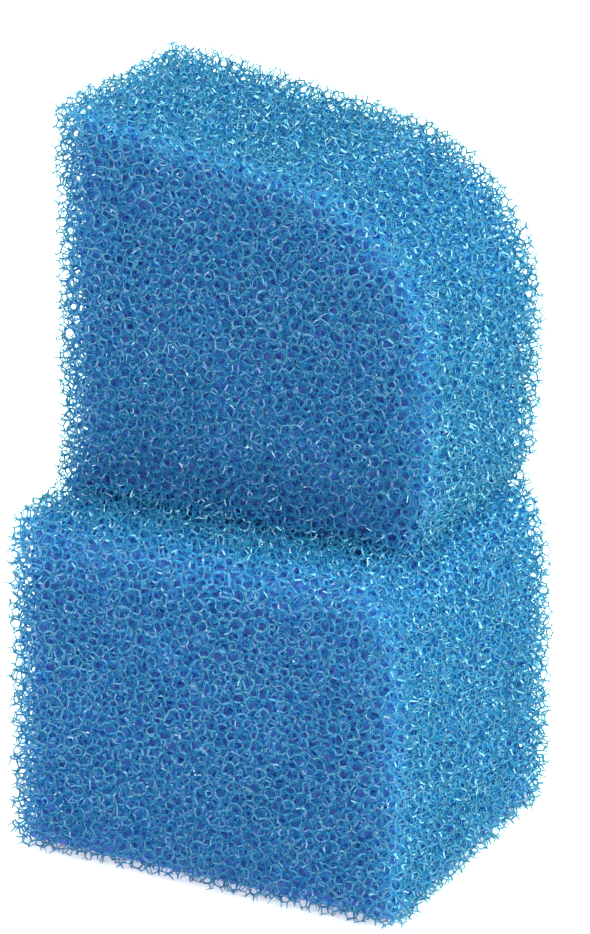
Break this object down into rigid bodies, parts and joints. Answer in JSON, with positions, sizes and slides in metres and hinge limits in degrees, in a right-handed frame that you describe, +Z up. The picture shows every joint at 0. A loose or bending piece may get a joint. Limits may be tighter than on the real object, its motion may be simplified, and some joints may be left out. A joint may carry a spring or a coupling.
{
  "type": "filter sponge",
  "caption": "Stepped block of coarse open-cell filter foam, with a front ledge, a sloping top and a rounded right shoulder.",
  "frame": {"origin": "centre of the footprint, on the surface that the sponge stands on", "axes": "+X the sponge's right, -Y its front with the ledge, +Z up"},
  "size_m": [0.06, 0.05, 0.105],
  "materials": {
    "foam": "coarse blue reticulated polyurethane foam, glossy struts"
  },
  "bodies": {
    "root": {"base_block": "foam", "upper_block": "foam"}
  },
  "joints": []
}
